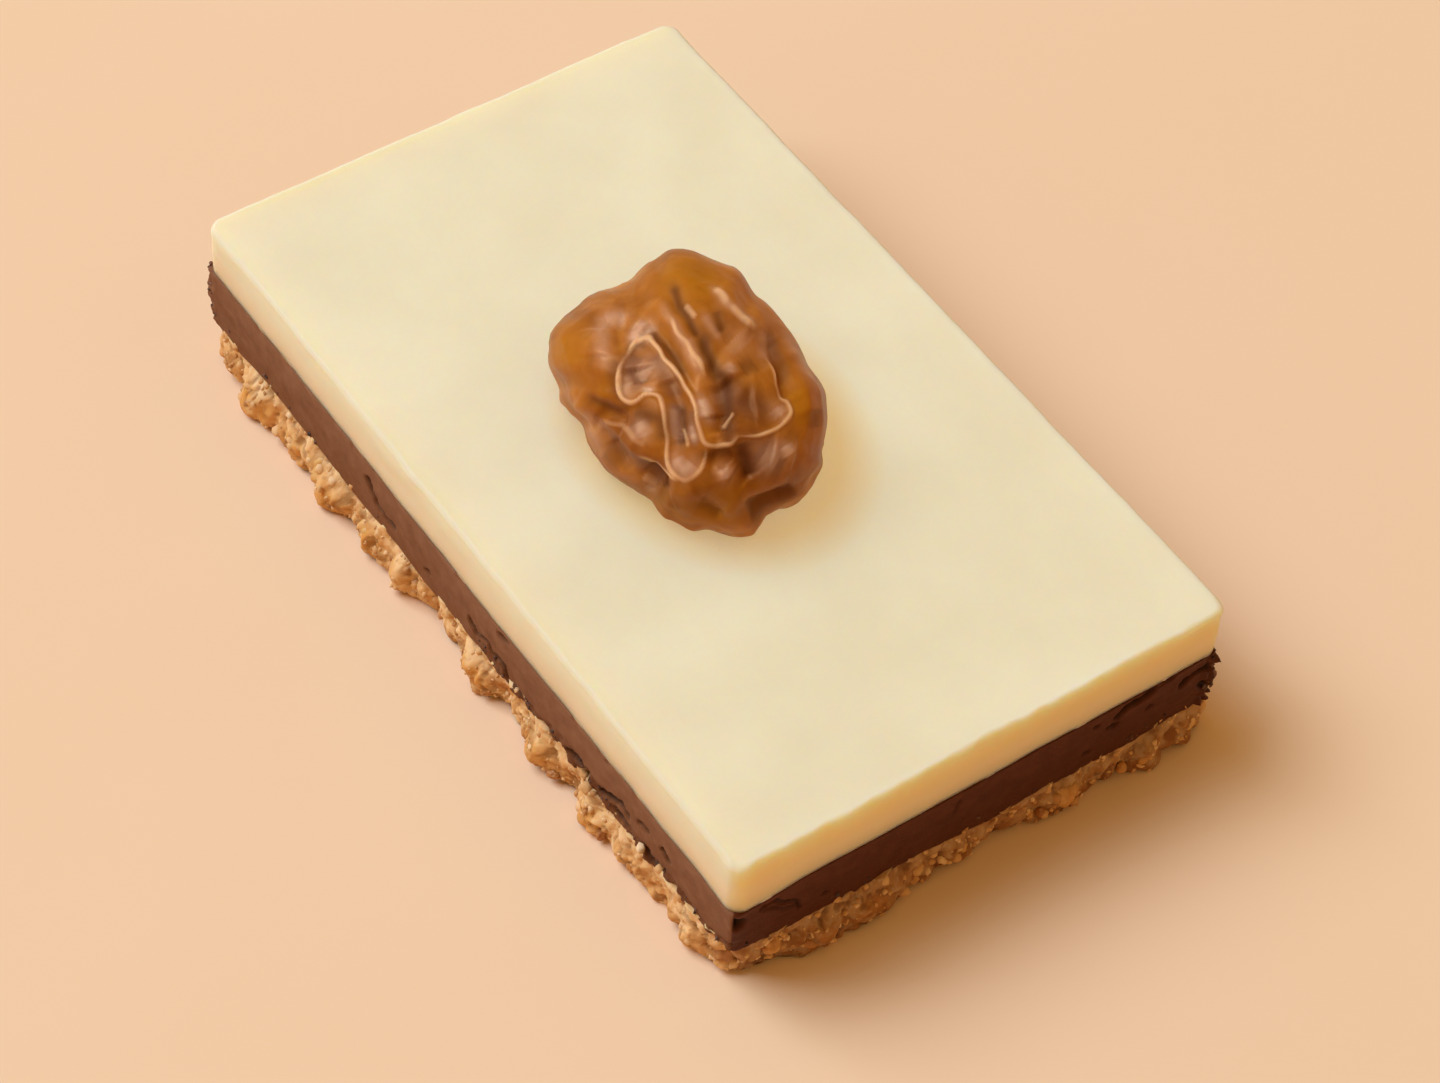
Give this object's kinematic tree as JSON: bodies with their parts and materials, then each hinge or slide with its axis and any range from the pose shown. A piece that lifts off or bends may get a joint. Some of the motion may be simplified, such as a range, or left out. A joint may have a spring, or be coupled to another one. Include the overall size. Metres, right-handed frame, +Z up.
{
  "type": "date cheesecake bar",
  "caption": "Cut rectangular bar of no-bake cheesecake: crumbly biscuit crust, chocolate and smooth pale cream, with a whole glossy date lying on top.",
  "frame": {"origin": "middle of the crust's flat underside", "axes": "+X along the bar's long side, +Z up; the long side that shows in the picture faces -Y and the short end that shows faces +X"},
  "size_m": [0.1034, 0.0645, 0.0354],
  "materials": {
    "crust": "rough crumbly baked biscuit",
    "chocolate": "cut soft chocolate, matt with small torn places",
    "cream": "smooth satin set cream cheese",
    "date_skin": "glossy wrinkled translucent date skin"
  },
  "bodies": {
    "root": {"crust": "crust", "chocolate_layer": "chocolate", "cheesecake_layer": "cream", "date": "date_skin"}
  },
  "joints": []
}
